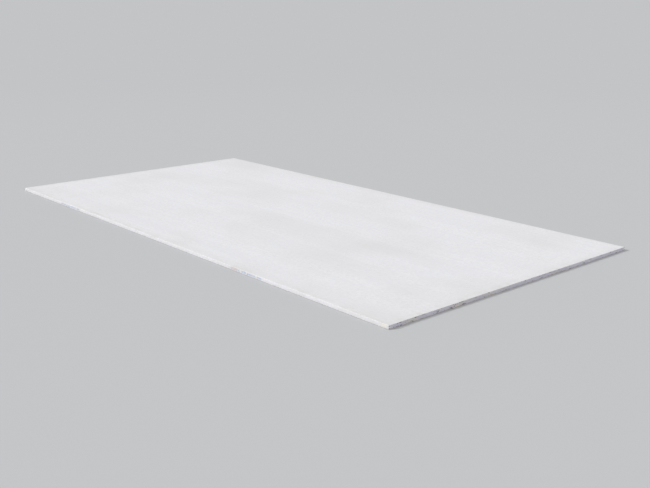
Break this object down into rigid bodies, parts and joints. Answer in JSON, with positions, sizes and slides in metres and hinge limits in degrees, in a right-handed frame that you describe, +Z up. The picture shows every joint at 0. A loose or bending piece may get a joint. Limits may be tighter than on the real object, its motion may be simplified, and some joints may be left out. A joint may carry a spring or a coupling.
{
  "type": "drywall sheet",
  "caption": "Flat gypsum board with paper liners, square paper-bound long edges and sawn ends, for lining walls and ceilings.",
  "frame": {"origin": "middle of the underside, the back liner's face", "axes": "+X along the length between the sawn ends, +Y across the width between the paper-bound long edges, +Z up through the thickness, from back to face"},
  "size_m": [2.4, 1.2, 0.0125],
  "materials": {
    "face_liner": "smooth near-white liner paper, faintly sheened"
  },
  "bodies": {
    "root": {"drywall_sheet": "face_liner"}
  },
  "joints": []
}
